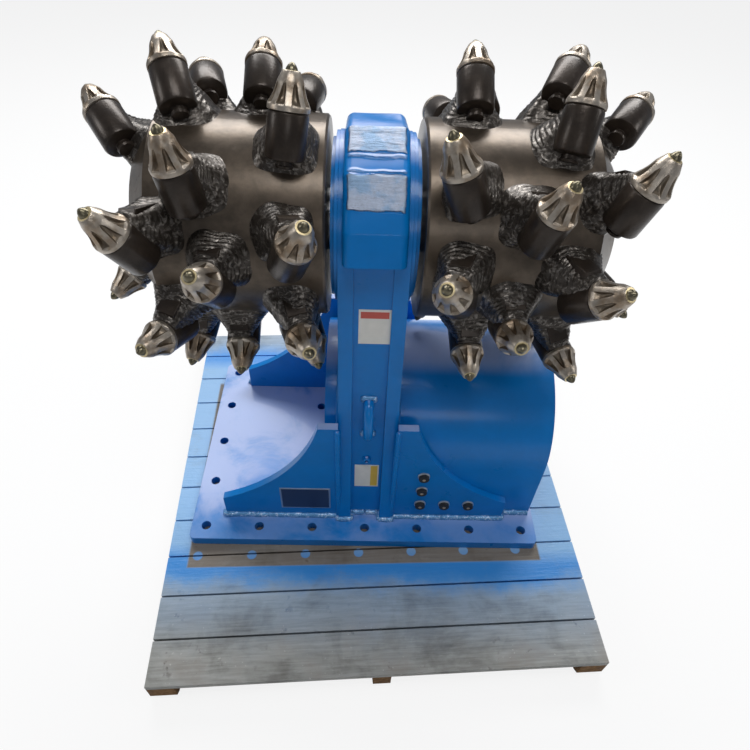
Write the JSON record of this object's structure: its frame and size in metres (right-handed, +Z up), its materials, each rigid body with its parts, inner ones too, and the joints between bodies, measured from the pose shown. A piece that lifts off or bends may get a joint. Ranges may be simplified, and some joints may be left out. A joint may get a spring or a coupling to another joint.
{
  "type": "drum cutter attachment",
  "caption": "Twin-drum cutting attachment for a digger: a leg with a gear head carries spiked drums above a bolt plate with gussets and a motor guard, on a transport pallet.",
  "frame": {"origin": "centre of the mounting plate bolt pattern, on the underside of the plate, which is also the top of the pallet deck", "axes": "+Z up; +X along the drum axis, to the right as seen from the front; +Y away from the front, so the front is at -Y"},
  "size_m": [0.8274, 0.87, 0.8566],
  "materials": {
    "blue_paint": "gloss",
    "black_paint": "gloss",
    "pick_steel": "satin",
    "machined_steel": "satin",
    "motor_paint": "satin",
    "pallet_wood": "weathered"
  },
  "bodies": {
    "frame_on_pallet": {"hydraulic_motor": "motor_paint", "left_bearing_flange": "blue_paint", "left_front_gusset": "blue_paint", "left_rear_gusset": "blue_paint", "leg": "blue_paint", "lifting_eye": "blue_paint", "motor_guard": "blue_paint", "mounting_plate": "blue_paint", "pallet_deck": "pallet_wood", "pallet_stringers": "pallet_wood", "port_caps": "blue_paint", "right_bearing_flange": "blue_paint", "right_front_gusset": "blue_paint", "right_rear_gusset": "blue_paint", "wear_cap": "blue_paint", "web_plug": "machined_steel"},
    "rotor": {"drive_shaft": "machined_steel", "left_drum": "black_paint", "left_pick_sleeves": "black_paint", "left_picks": "pick_steel", "right_drum": "black_paint", "right_pick_sleeves": "black_paint", "right_picks": "pick_steel"}
  },
  "joints": [
    {"name": "drum_spin", "type": "hinge", "parent": "frame_on_pallet", "child": "rotor", "pos_m": [0, 0, 0.569], "axis": [-1, 0, 0], "continuous": true}
  ]
}
